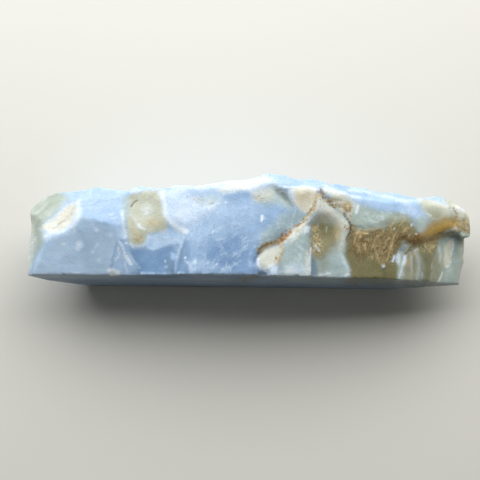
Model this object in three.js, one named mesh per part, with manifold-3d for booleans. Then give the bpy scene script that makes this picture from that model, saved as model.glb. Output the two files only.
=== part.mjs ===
// A rough bar of common blue opal: sawn flat along one long side and on its base, broken on top, behind
// and at both ends. It stands on its base with the broken top up and the sawn face towards -Y.
//
// Every place on the stone is given from its own corner, in millimetres: u along the bar from its left end,
// v back from the sawn face, and z up from the base. The whole is centred over the origin at the end.

import * as THREE from "three";
import { mergeVertices } from "three/addons/utils/BufferGeometryUtils.js";
import Module from "manifold-3d";

const wasm = await Module();
wasm.setup();

// Driving sizes
const LENGTH = 65.5;
const DEPTH = 15.1;
const HEIGHT = 16.0;
const BASE_LEFT = 8.4; // where the flat base begins and ends, along u
const BASE_RIGHT = 54.5;
const WELL_CLEAR = 60; // how far a cutting solid reaches beyond the stone
const GROOVE_SIDES = 8;
const GROOVE_STEP = 0.9;

// The outline seen from in front of the sawn face, as u and z: flat below, with ends that rise to thin lips
const FRONT_OUTLINE = [
  [BASE_LEFT, 0],
  [BASE_RIGHT, 0],
  [55.8, 1.0],
  [59.7, 3.8],
  [62.3, 5.0],
  [64.9, 6.5],
  [LENGTH, 8.6],
  [LENGTH, HEIGHT],
  [0, HEIGHT],
  [0, 11.9],
  [1.4, 8.6],
  [2.7, 5.6],
  [4.7, 2.8],
  [6.8, 1.1],
];

// The outline seen from above, as u and v: straight along the saw cut, broken at the back
const TOP_OUTLINE = [
  [0.3, 0],
  [64.4, 0],
  [64.6, 2.0],
  [64.7, 4.2],
  [65.2, 5.3],
  [65.4, 6.3],
  [LENGTH, 7.6],
  [LENGTH, 9.5],
  [64.9, 10.7],
  [62.9, 11.8],
  [61.3, 12.4],
  [55.1, 12.7],
  [52.2, 12.9],
  [48.9, 13.6],
  [45.1, 13.9],
  [44.3, 13.5],
  [43.6, 14.0],
  [39.7, 14.5],
  [37.5, DEPTH],
  [35.9, 14.8],
  [31.1, 14.2],
  [23.2, 13.7],
  [19.5, 13.2],
  [14.6, 12.8],
  [7.6, 12.7],
  [3.9, 12.4],
  [1.6, 11.9],
  [0.6, 10.2],
  [0, 6.9],
];

// Flat breaks of the top. Each takes away what lies above the plane through its three points, inside its
// outline. Where an outline ends while its plane is still deep, a step stands there, as along the wedge
// and the end ledge.
const EVERYWHERE = [
  [-2, -2],
  [LENGTH + 2, -2],
  [LENGTH + 2, DEPTH + 2],
  [-2, DEPTH + 2],
];

const TOP_BREAKS = [
  {
    name: "left slope down to the saw cut",
    outline: [[-2, -2], [12.6, -2], [15.1, 4.7], [14.6, 7.4], [14.6, 10], [-2, 10]],
    plane: [[8, 8.3, 15.1], [13.8, 7.0, 15.0], [8.2, 0, 12.7]],
  },
  {
    name: "left slope down to the back",
    outline: [[-2, 4], [14.7, 4], [14.7, 17], [-2, 17]],
    plane: [[8, 8.3, 15.1], [13.8, 7.0, 15.0], [10, 12.5, 13.5]],
  },
  {
    name: "left end slope",
    outline: [[-2, -2], [4, -2], [4, 9], [-2, 9]],
    plane: [[0.9, 0.5, 12.2], [2.9, 5.4, 13.7], [0, 6.9, 11.2]],
  },
  {
    name: "left back corner",
    outline: [[-2, 5], [9, 5], [9, 17], [-2, 17]],
    plane: [[2.6, 7.2, 13.6], [7.2, 11.2, 13.4], [0.9, 10.4, 11.2]],
  },
  {
    name: "cream hollow at the left end",
    outline: [[2.7, 7.2], [3.7, 6.2], [5.0, 6.4], [6.9, 7.8], [7.6, 9.6], [7.3, 11.0], [5.9, 10.7],
      [3.9, 9.0]],
    plane: [[3.0, 6.6, 13.0], [7.5, 10.6, 13.4], [7.0, 8.2, 13.9]],
  },
  {
    name: "olive window",
    outline: [[14.3, 4.2], [15.6, 4.0], [17.3, 4.3], [17.8, 5.7], [20.6, 6.2], [20.3, 8.6],
      [19.8, 12.0], [15.3, 12.1], [14.3, 11.2]],
    plane: [[14.4, 4.3, 14.1], [14.4, 11, 14.0], [20.4, 7.7, 14.5]],
  },
  {
    name: "fan of the blow",
    outline: [[15.1, 4.9], [12.1, -1], [17.2, -1]],
    plane: [[15.0, 4.7, 14.0], [12.2, 0, 12.7], [17, 0, 13.1]],
  },
  {
    name: "fall of the whole break to the right end",
    outline: [[36.4, -2], [70, -2], [70, 17], [36.4, 17]],
    plane: [[36.5, 0, 16.0], [36.5, 15, 16.1], [57, 7, 13.2]],
  },
  {
    name: "plateau left of the middle",
    outline: [[19.6, -2], [37.2, -2], [37.2, 5], [36, 16], [14.5, 16], [14.5, 11], [19.6, 11]],
    plane: [[22.3, 0, 14.7], [34.2, 0, 15.5], [26, 12, 15.1]],
  },
  {
    name: "plateau falling to the groove",
    outline: [[32, 17], [33.2, 4], [33.7, 2.6], [34.4, 3.7], [35.9, 4.2], [37.4, 4.8], [39.2, 6.6],
      [39.2, 8.5], [39.3, 10.3], [38.2, 11.8], [36.6, 12.5], [36.4, 17]],
    plane: [[33.2, 10, 15.55], [34.2, 4.0, 15.4], [38.8, 7.5, 14.6]],
  },
  {
    name: "cream facet behind the groove",
    outline: [[36.0, 17], [36.3, 12.3], [38.2, 11.6], [39.1, 10.3], [39.0, 8.5], [38.8, 6.6],
      [40.3, 7.8], [41.4, 9.0], [42.3, 10.6], [43.0, 12.3], [43.4, 17]],
    plane: [[38.5, 12.5, 15.7], [42.6, 12.3, 15.2], [39.6, 7.4, 14.7]],
  },
  {
    name: "bevel behind the middle",
    outline: EVERYWHERE,
    plane: [[16.6, 12.2, 14.6], [36.5, 12.9, 15.9], [26, 14.6, 13.6]],
  },
  {
    name: "bevel behind the wedge",
    outline: [[35, 10], [54, 10], [54, 17], [35, 17]],
    plane: [[38, 12.9, 15.9], [46.4, 12.1, 14.8], [44, 14.4, 13.4]],
  },
  {
    name: "bevel behind the right end",
    outline: [[47, 9], [70, 9], [70, 17], [47, 17]],
    plane: [[50, 11.4, 14.1], [62, 11.0, 11.2], [56, 13.0, 11.3]],
  },
  {
    name: "small cream wedge",
    outline: [[33.7, -1], [33.8, 3.0], [34.3, 3.8], [35.4, 4.3], [37.3, 5.0], [37.3, 3.4], [37.0, 1.9],
      [37.0, -1]],
    plane: [[34.2, 3.2, 15.05], [37.1, 4.3, 14.75], [35.6, 0.2, 15.0]],
  },
  {
    name: "wedge, left side",
    outline: [[36.7, -2], [36.9, 1.9], [37.2, 3.4], [37.1, 4.5], [37.3, 5.2], [38.4, 6.3], [40.3, 7.8],
      [41.4, 9.0], [42.3, 10.6], [43.0, 12.6], [42.8, 11.1], [41.9, 8.1], [41.6, 5.9], [41.7, -2]],
    plane: [[41.8, 8, 15.2], [41.6, 0, 14.4], [37.4, 4.4, 14.7]],
  },
  {
    name: "wedge, right side",
    outline: [[41.6, -2], [41.5, 5.9], [41.8, 8.1], [42.7, 11.1], [42.9, 12.8], [43.9, 11.4],
      [45.2, 10.5], [46.4, 9.6], [46.8, 8.5], [47.5, 7.4], [47.0, 6.3], [46.8, 5.2], [46.3, 3.6],
      [46.5, 2.3], [47.2, 1.6], [47.4, -2]],
    plane: [[42.7, 11.4, 15.2], [41.7, 3.5, 14.2], [47.2, 7.2, 14.1]],
  },
  {
    name: "wedge, low right foot",
    outline: [[41.6, -2], [41.6, 3.2], [44.4, 2.8], [46.4, 3.2], [47.3, 1.5], [47.4, -2]],
    plane: [[41.8, 0, 13.9], [47.2, 0, 13.1], [44.4, 2.8, 14.1]],
  },
  {
    name: "shoulder behind the crack",
    outline: [[42.9, 17], [42.9, 12.4], [43.9, 11.3], [45.2, 10.4], [46.4, 9.5], [46.8, 8.5],
      [47.5, 7.3], [57, 6.4], [59, 17]],
    plane: [[45.8, 12.0, 14.8], [47.5, 7.6, 14.0], [58, 10, 12.3]],
  },
  {
    name: "brown hackly break",
    outline: [[47.4, 7.6], [46.9, 6.3], [46.7, 5.2], [46.2, 3.6], [46.4, 2.3], [47.1, 1.6], [47.2, -2],
      [55, -2], [55.2, 5.2], [56.6, 6.4], [55.9, 8.1], [54.0, 8.3], [51.9, 7.8], [49.2, 7.6]],
    plane: [[47.5, 7.2, 13.7], [48.0, 0, 12.9], [55, 5.4, 12.4]],
  },
  {
    name: "top of the end block",
    outline: [[53.8, -2], [70, -2], [70, 17], [53.8, 17]],
    plane: [[57, 11.2, 12.3], [57, 6.5, 12.1], [65.2, 8.5, 10.2]],
  },
  {
    name: "break under the end ledge",
    outline: [[54.6, -2], [54.5, 2.4], [55.3, 5.0], [57.1, 5.8], [59.4, 6.5], [60.9, 7.1], [62.5, 7.5],
      [63.7, 7.4], [64.5, 6.7], [70, 6.5], [70, -2]],
    plane: [[54.8, 0, 11.8], [63.9, 0, 7.4], [64.4, 6.6, 8.0]],
  },
];

// Shell-like hollows, each a shallow bite out of the stone by a large ball or egg: its middle, its radii,
// and the outline it keeps to where it has one
const HOLLOWS = [
  {
    name: "step scar beside the ridge",
    outline: [[15.0, 4.7], [17.3, 4.4], [17.8, 5.9], [20.4, 6.3], [20.1, 8.4], [21.1, 7.6], [22.3, 6.8],
      [23.3, 6.6], [22.9, 4.4], [22.5, 2.9], [22.0, -1], [17.0, -1]],
    centre: [19.6, 1.0, 31.3],
    radii: [19, 21, 17.8],
  },
  {
    name: "olive bowl in the wedge",
    outline: [[41.2, 7.6], [42.4, 9.1], [44.2, 9.1], [45.5, 8.1], [45.9, 6.1], [45.4, 4.1], [44.0, 3.0],
      [42.2, 3.1], [41.2, 4.9]],
    centre: [43.6, 6.1, 20.9],
    radii: [5.2, 7.4, 7.4],
  },
  { name: "glassy chip", centre: [55.3, 4.2, 13.9], radii: [1.5, 3.2, 2.4] },
  { name: "chip at the crest", centre: [44.5, 15.3, 16.6], radii: [2.6, 2.6, 3.4] },
  { name: "left end, lower scar", centre: [-8.2, 6.2, 0.6], radii: [12.4, 9.5, 8.6] },
  { name: "left back corner scar", centre: [1.2, 17.2, 6.2], radii: [8.2, 6.6, 9.6] },
  { name: "long scar along the back", centre: [21, 33.4, 9.5], radii: [23, 21.6, 17] },
  { name: "right scar along the back", centre: [50, 31.2, 3.2], radii: [17, 19.4, 13.5] },
  { name: "low scar at the back", centre: [36, 21.4, -4.6], radii: [15, 9.2, 9.4] },
  { name: "right end, back scar", centre: [70.2, 13.8, 3.8], radii: [9.5, 6.4, 6.6] },
  { name: "right end, scar under the ledge", centre: [66.6, 2.4, 2.4], radii: [4.6, 5.2, 4.4] },
  { name: "dark nick below the cream wedge", centre: [34.8, -0.2, 14.9], radii: [0.9, 0.9, 1.0] },
];

// Flat cuts that shape the hidden sides, each through three points. The stone's middle stays.
const SIDE_CUTS = [
  { name: "undercut behind the base, left", plane: [[6, 12.2, 5.2], [30, 13.2, 5.6], [18, 9.6, 0]] },
  { name: "undercut behind the base, right", plane: [[34, 13.2, 5.0], [60, 11.2, 6.4], [46, 8.9, 0]] },
  { name: "left end, back corner", plane: [[-0.3, 9.5, 11.4], [2.6, 12.8, 11.4], [7.6, 9.6, 1.5]] },
  { name: "right end, back corner", plane: [[65.6, 10.4, 10], [61.6, 12.6, 10.2], [58.4, 9.4, 2.4]] },
];

// Narrow grooves in the top: healed cracks that broke open, with their own depth and width
const GROOVES = [
  {
    name: "rust groove left of the wedge",
    radius: 0.34,
    points: [[33.6, 1.4, 15.3], [33.9, 3.1, 15.15], [34.5, 3.9, 15.0], [35.9, 4.4, 14.85],
      [37.3, 5.2, 14.7], [38.5, 6.4, 14.6], [40.3, 7.8, 14.7], [41.4, 9.0, 14.85], [42.3, 10.6, 15.1],
      [42.9, 12.4, 15.25]],
  },
  {
    name: "dark crack right of the wedge",
    radius: 0.28,
    points: [[42.9, 12.8, 15.2], [43.9, 11.4, 14.9], [45.2, 10.5, 14.6], [46.4, 9.6, 14.3],
      [46.8, 8.5, 14.2], [47.5, 7.4, 14.0], [49.2, 7.0, 13.6], [50.6, 7.2, 13.4]],
  },
  {
    name: "vein across the end block",
    radius: 0.26,
    points: [[62.4, 11.8, 10.8], [62.7, 10.6, 10.9], [62.9, 9.4, 10.8], [63.1, 8.3, 10.7],
      [63.2, 7.2, 10.6]],
  },
];

// Fan of hackle lines in the brown break: straight fine grooves that spread from one point
const HACKLE = {
  from: [50.6, 10.4],
  reach: [4.2, 9.6],
  angles: [-104, -95, -86, -77, -68, -59, -51],
  radius: 0.2,
};

// Nicks along the sharp edge above the saw cut, as u and size
const EDGE_NICKS = [[5.6, 0.5], [12.6, 0.95], [21.4, 0.5], [27.3, 0.55], [39.6, 0.5], [45.4, 0.6],
  [51.2, 0.5], [58.2, 0.6]];

function solidOf(geometry) {
  const bare = geometry.index ? geometry.toNonIndexed() : geometry.clone();
  bare.deleteAttribute("normal");
  bare.deleteAttribute("uv");
  const merged = mergeVertices(bare, 1e-4);
  const vertProperties = merged.attributes.position.array;
  const triVerts = new Uint32Array(merged.index.array);
  return new wasm.Manifold(new wasm.Mesh({ numProp: 3, vertProperties, triVerts }));
}

// An outline in u and v as an upright column from low to high
function column(outline, low, high) {
  const shape = new THREE.Shape(outline.map(([u, v]) => new THREE.Vector2(u, v)));
  const geometry = new THREE.ExtrudeGeometry(shape, { depth: high - low, bevelEnabled: false });
  return solidOf(geometry.translate(0, 0, low));
}

// The front outline in u and z, carried back through the whole depth
function bar(outline) {
  const shape = new THREE.Shape(outline.map(([u, z]) => new THREE.Vector2(u, z)));
  const geometry = new THREE.ExtrudeGeometry(shape, { depth: DEPTH, bevelEnabled: false });
  return solidOf(geometry.rotateX(Math.PI / 2).translate(0, DEPTH, 0));
}

// Half of space as a very large box: what lies beyond the plane through three points, seen from inside
function beyond(points, inside) {
  const [a, b, c] = points.map((p) => new THREE.Vector3(...p));
  const normal = new THREE.Vector3().crossVectors(b.clone().sub(a), c.clone().sub(a)).normalize();
  if (normal.dot(inside.clone().sub(a)) > 0) normal.negate();
  const middle = a.clone().add(b).add(c).divideScalar(3);
  const box = new THREE.BoxGeometry(4 * WELL_CLEAR, 4 * WELL_CLEAR, WELL_CLEAR);
  box.translate(0, 0, WELL_CLEAR / 2);
  box.applyQuaternion(new THREE.Quaternion().setFromUnitVectors(new THREE.Vector3(0, 0, 1), normal));
  return solidOf(box.translate(middle.x, middle.y, middle.z));
}

function egg({ centre, radii }) {
  const fine = Math.max(...radii) > 10 ? [96, 64] : [36, 24];
  const geometry = new THREE.SphereGeometry(1, ...fine);
  geometry.rotateX(Math.PI / 2);
  return solidOf(geometry.scale(...radii).translate(...centre));
}

function groove(points, radius) {
  const path = new THREE.CatmullRomCurve3(points.map((p) => new THREE.Vector3(...p)), false, "centripetal");
  const round = new THREE.Shape();
  round.absarc(0, 0, radius, 0, 2 * Math.PI);
  const steps = Math.max(2, Math.round(path.getLength() / GROOVE_STEP));
  const sweep = { steps, curveSegments: GROOVE_SIDES, extrudePath: path, bevelEnabled: false };
  return solidOf(new THREE.ExtrudeGeometry(round, sweep));
}

function hackleLines({ from, reach, angles, radius }) {
  return angles.map((degrees, i) => {
    const turn = THREE.MathUtils.degToRad(degrees);
    const short = i % 2 ? 1.4 : 0; // every other line starts further out and ends sooner
    const end = (length, z) => [from[0] + length * Math.cos(turn), from[1] + length * Math.sin(turn), z];
    const middle = (reach[0] + reach[1]) / 2;
    return groove([end(reach[0] + short, 13.3), end(middle, 12.95), end(reach[1] - short, 12.6)], radius);
  });
}

function nick([u, size]) {
  const geometry = new THREE.OctahedronGeometry(size);
  return geometry.rotateZ(u).rotateX(0.6).translate(u, -0.25 * size, topHeightAtSaw(u));
}

// Height of the edge above the saw cut at u, rising to the middle and falling to the right end
function topHeightAtSaw(u) {
  const edge = [[0.3, 12.0], [12, 12.8], [22, 14.2], [23, 14.7], [34, 15.5], [37, 14.4], [42, 14.3],
  [43, 13.7], [48, 13.0], [54, 12.0], [64, 7.3]];
  const next = edge.findIndex(([at]) => at > u);
  const [[u0, z0], [u1, z1]] = [edge[next - 1], edge[next]];
  return THREE.MathUtils.mapLinear(u, u0, u1, z0, z1);
}

function brokenStone() {
  const middle = new THREE.Vector3(LENGTH / 2, DEPTH / 2 - 1, HEIGHT / 2);
  const below = new THREE.Vector3(LENGTH / 2, DEPTH / 2, -WELL_CLEAR * 4);
  let stone = bar(FRONT_OUTLINE).intersect(column(TOP_OUTLINE, -1, HEIGHT + 1));
  for (const { outline, plane } of TOP_BREAKS)
    stone = stone.subtract(column(outline, 2, WELL_CLEAR).intersect(beyond(plane, below)));
  for (const cut of SIDE_CUTS) stone = stone.subtract(beyond(cut.plane, middle));
  for (const hollow of HOLLOWS) {
    const bite = egg(hollow);
    stone = stone.subtract(hollow.outline ? bite.intersect(column(hollow.outline, 2, WELL_CLEAR)) : bite);
  }
  for (const { points, radius } of GROOVES) stone = stone.subtract(groove(points, radius));
  for (const line of hackleLines(HACKLE)) stone = stone.subtract(line);
  for (const at of EDGE_NICKS) stone = stone.subtract(solidOf(nick(at)));
  return stone;
}

function opalMesh() {
  const { numProp, numVert, vertProperties, triVerts } = brokenStone().getMesh();
  const positions = new Float32Array(3 * numVert);
  for (let i = 0; i < numVert; i++) {
    positions.set(vertProperties.subarray(i * numProp, i * numProp + 3), 3 * i);
  }
  const geometry = new THREE.BufferGeometry();
  geometry.setAttribute("position", new THREE.BufferAttribute(positions, 3));
  geometry.setIndex(new THREE.BufferAttribute(triVerts, 1));
  geometry.computeBoundingBox();
  const { min, max } = geometry.boundingBox;
  geometry.translate(-(min.x + max.x) / 2, -(min.y + max.y) / 2, -min.z);
  geometry.computeVertexNormals();
  const material = new THREE.MeshStandardMaterial({ color: 0x9db8d6, roughness: 0.35, metalness: 0 });
  const mesh = new THREE.Mesh(geometry, material);
  mesh.name = "blue_opal";
  return mesh;
}

const part = new THREE.Group();
part.add(opalMesh());

export default part;
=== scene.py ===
import bpy
import numpy as np
from mathutils import Matrix, Vector


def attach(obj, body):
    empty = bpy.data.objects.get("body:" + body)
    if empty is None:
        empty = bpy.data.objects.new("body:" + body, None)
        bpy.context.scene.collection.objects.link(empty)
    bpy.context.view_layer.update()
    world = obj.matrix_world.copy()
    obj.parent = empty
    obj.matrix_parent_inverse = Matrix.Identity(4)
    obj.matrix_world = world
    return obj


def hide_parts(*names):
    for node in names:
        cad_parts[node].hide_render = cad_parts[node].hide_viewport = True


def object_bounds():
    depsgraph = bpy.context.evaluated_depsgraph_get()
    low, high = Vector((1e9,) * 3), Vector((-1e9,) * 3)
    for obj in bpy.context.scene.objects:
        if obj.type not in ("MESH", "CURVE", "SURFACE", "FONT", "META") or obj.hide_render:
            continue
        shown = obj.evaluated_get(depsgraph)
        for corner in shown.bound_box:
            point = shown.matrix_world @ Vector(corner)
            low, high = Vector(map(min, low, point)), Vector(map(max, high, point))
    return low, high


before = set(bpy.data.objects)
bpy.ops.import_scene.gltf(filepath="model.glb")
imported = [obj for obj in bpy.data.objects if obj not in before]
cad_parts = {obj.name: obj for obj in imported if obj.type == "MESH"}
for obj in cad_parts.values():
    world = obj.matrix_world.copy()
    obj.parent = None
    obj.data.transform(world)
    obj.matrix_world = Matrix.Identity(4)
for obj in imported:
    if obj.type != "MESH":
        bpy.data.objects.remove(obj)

# Places on the stone are in millimetres from its own corner: u along the bar from its left end, v back
# from the sawn face and z up from the base. The frame is in metres, from the middle of the base.
MM = 0.001
U_MIDDLE = 32.836
V_MIDDLE = 7.55
CAD_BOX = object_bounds()
BOX_LOW = np.array(CAD_BOX[0]) / MM + (U_MIDDLE, V_MIDDLE, 0)
BOX_HIGH = np.array(CAD_BOX[1]) / MM + (U_MIDDLE, V_MIDDLE, 0)
MESH_SIZE = 0.202  # side of the finished mesh's faces, mm
TOP_CELL = 0.5  # side of the squares in which the height of the top is looked up, mm


def placed(name, data):
    """A new object of the scene"""
    thing = bpy.data.objects.new(name, data)
    bpy.context.scene.collection.objects.link(thing)
    return thing


# Repeatable random fields


def scramble(cells, seed):
    """A repeatable number from 0 to 1 for each whole-numbered cell"""
    mixed = (cells[:, 0] * 73856093) ^ (cells[:, 1] * 19349663) ^ (cells[:, 2] * 83492791)
    mixed ^= seed * 2654435761
    mixed = (mixed ^ (mixed >> 13)) * 1274126177
    return ((mixed ^ (mixed >> 16)) & 0xFFFFFF) / 0xFFFFFF


def wander(points, size, seed):
    """A smooth random field from -1 to 1 whose features are about size across"""
    scaled = points / size
    low = np.floor(scaled).astype(np.int64)
    part = scaled - low
    part = part * part * (3 - 2 * part)
    total = np.zeros(len(points))
    for corner in np.ndindex(2, 2, 2):
        weight = np.prod(np.where(corner, part, 1 - part), axis=1)
        total += weight * scramble(low + np.array(corner), seed)
    return 2 * total - 1


def rough(points, size, octaves, seed):
    """Wander of several sizes added up, each half as large and half as strong as the last"""
    return sum(wander(points, size / 2**n, seed + n) / 2**n for n in range(octaves))


def ridges(points, size, seed):
    """From 0 to 1, with sharp crests where a random field crosses zero"""
    coarse = 1 - np.abs(wander(points, size, seed))
    fine = 1 - np.abs(wander(points, size / 2, seed + 1))
    return (2 * coarse + fine) / 3


def grains(points, size, seed):
    """Distance to the nearest of many scattered points, in mm"""
    scaled = points / size
    low = np.floor(scaled).astype(np.int64)
    best = np.full(len(points), 9.0)
    for step in np.ndindex(3, 3, 3):
        cell = low + np.array(step) - 1
        jitter = np.stack([scramble(cell, seed + n) for n in range(3)], axis=1)
        best = np.minimum(best, np.linalg.norm(cell + jitter - scaled, axis=1))
    return best * size


def ramp(value, low, high):
    """0 below low, 1 above high, and a smooth turn between"""
    part = np.clip((value - low) / (high - low), 0, 1)
    return part * part * (3 - 2 * part)


def drawn_out(places, angle, width, length):
    """The places squeezed so that a random field on them runs in streaks along one direction of the plan"""
    u, v, z = places.T
    a = np.radians(angle)
    along = u * np.cos(a) + v * np.sin(a)
    across = v * np.cos(a) - u * np.sin(a)
    return np.stack([along / length, across / width, z / length], axis=1)


def fanned(places, from_u, from_v, width, length):
    """The places squeezed so that a random field on them runs in streaks away from one point of the plan"""
    u, v, z = places.T
    away = np.hypot(u - from_u, v - from_v)
    turn = np.arctan2(v - from_v, u - from_u)
    return np.stack([turn * 7 / width, away / length, z / length], axis=1)


# Distances on the plan of the stone


def from_line(line, u, v):
    """Distance from a line of several points, in mm"""
    best = np.full(len(u), 1e9)
    for (u0, v0), (u1, v1) in zip(line[:-1], line[1:]):
        du, dv = u1 - u0, v1 - v0
        along = np.clip(((u - u0) * du + (v - v0) * dv) / max(du * du + dv * dv, 1e-9), 0, 1)
        best = np.minimum(best, np.hypot(u - u0 - along * du, v - v0 - along * dv))
    return best


def inside_by(outline, u, v):
    """How far inside a closed outline each place lies, in mm, negative outside"""
    within = np.zeros(len(u), dtype=bool)
    closed = outline + outline[:1]
    for (u0, v0), (u1, v1) in zip(closed[:-1], closed[1:]):
        crosses = (v0 > v) != (v1 > v)
        if v1 != v0:
            within ^= crosses & (u < (u1 - u0) * (v - v0) / (v1 - v0) + u0)
    gap = from_line(closed, u, v)
    return np.where(within, gap, -gap)


# Marks on the stone. Each is an outline, or a line with its width, with how soft its edge is, how deep it
# runs below the broken top and its strongest value, lengths in mm


def area(outline, edge=0.4, deep=6, most=1):
    return (True, outline, 0, edge, deep, most)


def line(points, width, edge=0.18, most=1, deep=0.8):
    return (False, points, width / 2, edge, deep, most)


def spot(u, v, radius, edge=0.2, most=1):
    return (False, [(u, v), (u, v)], radius, edge, 0.8, most)


# Outlines that several pigments share
GLASSY_CHIP = [(61.6, 3.6), (61.8, 5.3), (62.5, 6.2), (63.1, 6.4), (63.2, 5.2), (62.9, 4.6), (62.8, 3.2),
               (62.4, 2.3), (61.9, 2.2)]
LEFT_CORNER = [(-1, 2), (-1, 12), (4, 12), (5, 10.6), (2.4, 7.4), (1.2, 5)]
WEDGE_SIDE = [(37.2, 4.7), (37.4, 3.9), (37.2, 3), (36.9, 1.9)]

SLATE = [
    area([(0.9, -1), (1.5, 2.5), (2.3, 4), (3, 5), (3.8, 5.3), (5.1, 5.5), (6.2, 6.2), (7.1, 6.8),
          (7.6, 8.2), (8.1, 8.5), (9.3, 8.2), (10, 7.5), (11.9, 7.1), (13.9, 6.7), (14.5, 5.3), (13.3, 4.8),
          (12.6, 1.8), (11.9, -1)], 0.25, 4),
]
DEEP_BLUE = [
    area([(15.1, 3.8), (18.7, 3.6), (21.3, 4.3), (22.3, 3), (21.9, -1), (16.9, -1)], 0.6, 4, 0.9),
    area([(22.8, 5), (23.9, 5), (23.9, 2.9), (23.6, 1.7), (24.2, 0.4), (22.4, -1), (22.5, 2.3)], 0.3, 2),
    area([(20.6, 3), (21.6, 2.2), (22, 2), (21.8, -1), (20.4, -1)], 0.3, 2),
    line([(27.6, 7.2), (27.1, 6), (27, 4.8)], 0.7, 0.5, 0.9, 1),
    area([(29.6, 12), (32.7, 12.2), (32.7, 10.2), (30.9, 10), (29.5, 10.5)], 0.8, 2, 0.8),
    area([(26, 5), (31, 7), (34.5, 3), (33.5, -1), (25, -1)], 2.2, 5),
    area([(49.5, 11.4), (51, 11.6), (55, 11.5), (55.2, 9.9), (52.6, 9.7), (50.4, 10)], 0.8, 3, 0.5),
    # Painted shade beside the step right of the crack at u 41.7
    area([(41.8, 2.6), (42.3, 2.1), (42.6, 0.9), (42.2, -1), (41.7, -1)], 0.25, 3),
    area([(28.5, 6.5), (31.5, 10), (34.5, 10), (37, 8.5), (36, 5.5), (34, 3.5), (30, 4)], 1.6, 3, 0.34),
    area([(44, 14.9), (46, 14.4), (47.8, 14.4), (48.5, 13.9), (46, 13.4), (44.2, 13.9)], 0.3, 2, 0.5),
]
FROST = [
    area([(1.6, 6.3), (3.4, 8.1), (5.8, 10.5), (7.2, 11.3), (7.9, 9.3), (7.6, 7.4), (6.4, 6.2), (3.6, 5.2),
          (2, 5.6)], 0.3, 2, 0.9),
    area([(1, 0), (2.4, 3.6), (5, 3), (6, 0), (5, -1)], 1.2, 3, 0.3),
    area([(7.7, 10.7), (7.6, 8.5), (9.3, 8.3), (10, 7.5), (11.9, 7.2), (13.9, 6.8), (14.2, 9.3),
          (13.9, 11.2), (10.2, 11.2), (8.6, 11.3)], 0.3, 3, 0.42),
    area([(5, 12.1), (6.1, 12.4), (9, 12.9), (13.5, 13.4), (16.5, 13.5), (16.5, 11.4), (13.6, 11),
          (10.2, 11), (7.5, 10.7), (6.1, 11)], 0.5, 3, 0.8),
    area([(20.5, 11.5), (22.2, 12.6), (25.8, 12.6), (28, 12.6), (28.8, 11.9), (28.7, 10.2), (27.1, 9.7),
          (24.6, 8.4), (23.5, 7.2), (21.3, 7.4), (20.3, 8.6), (20.3, 10.2)], 1, 2),
    area([(22, 8), (27, 11), (34, 11), (34, 8.5), (30, 6.5), (25, 4.6), (23.5, 6)], 1.8, 2, 0.42),
    area([(24.3, 1.9), (26, 2.1), (27.8, 1.7), (29.8, 1), (29.8, -0.5), (24.5, -0.5)], 0.6, 1, 0.4),
    area([(35.5, 14.8), (37.6, 16), (40, 15.5), (42.3, 15), (44.1, 14.8), (43.9, 12.6), (42, 12.8),
          (40.5, 13.2), (38.6, 13.1), (37.3, 13), (36.5, 13.4)], 0.3, 3, 0.7),
    area([(47.4, 14.2), (50.4, 14), (53.3, 13.4), (54.8, 13.2), (61.8, 12.6), (62.4, 11.6), (57.7, 11.8),
          (54.8, 11.7), (52.3, 12.1), (47.4, 13.1)], 0.4, 3, 0.75),
    area([(54.6, 11.9), (58.2, 11.3), (59.2, 10), (58.6, 8.4), (57.2, 7.6), (56.4, 8.3), (55.2, 9.6)],
         0.7, 2, 0.9),
    area([(-1, -1), (0.6, 0.3), (1.5, 2.5), (2.3, 4.2), (2.7, 5.6), (1.2, 5.4), (-1, 4)], 0.5, 8, 0.7),
    area([(-0.5, 6.5), (1.5, 9), (3.6, 11.5), (5.6, 13), (6.6, 12), (5.2, 11.6), (3.6, 10.4), (1.2, 7.6)],
         0.5, 2, 0.15),
    area([(44, 2.5), (45.6, 3.2), (46.6, 2.2), (47.2, 1.2), (47.3, -0.5), (43.6, -0.5)], 0.7, 3, 0.7),
    area([(37.2, 3.4), (38.2, 4.8), (40.2, 5.6), (41.4, 3.5), (41.6, -0.5), (37.2, -0.5)], 0.9, 3, 0.85),
    area([(54.3, 4.5), (55, 5), (55.7, 4.6), (55.3, 3.3), (54.8, 2.2), (54.1, 2.8)], 0.3, 1, 0.35),
    area([(63.3, -1), (63.7, 3), (64.4, 6), (66, 6), (66, -1)], 0.6, 6, 0.7),
    area([(17.8, 5.8), (20.6, 6.9), (23.3, 6.3), (22.7, 4.6), (20.6, 4.3), (18.7, 3.7), (17.5, 4.3)],
         0.3, 1, 0.6),
    area([(22, 12.8), (27, 13), (34, 13.2), (34, 12.2), (29, 11.8), (22, 12)], 0.7, 3, 0.7),
    line([(0.8, 0.05), (33, 0.05)], 0.3, 0.25, 0.8, 0.6),
    area([(12.3, -0.5), (13.4, 4.6), (15, 4.2), (17, -0.5)], 0.3, 1.5, 0.5),
]
LAVENDER = [
    area([(17.8, 5.8), (19.1, 6), (20.6, 6.9), (22, 6.6), (23.3, 6.3), (22.7, 4.6), (22.2, 4.7), (21.1, 4.6),
          (20.6, 4.3), (19.6, 4.1), (18.7, 3.7), (17.7, 3.8), (17.5, 4.3)], 0.25, 1),
    area([(21.3, 3.4), (22.2, 3.2), (22.2, 2.4), (21.5, 2.2)], 0.2, 1, 0.8),
    area([(47.8, 11.9), (51, 12), (55, 11.8), (57.5, 11), (57, 9.3), (56, 9), (55, 9.5), (53.2, 9.5),
          (51, 9.9), (49.1, 10.8)], 0.8, 3),
    area([(44.2, 13.4), (45.9, 14.8), (48.8, 14.4), (48.8, 12.7), (46.4, 12.6), (45, 12.9)], 0.3, 3, 0.7),
]
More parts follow.
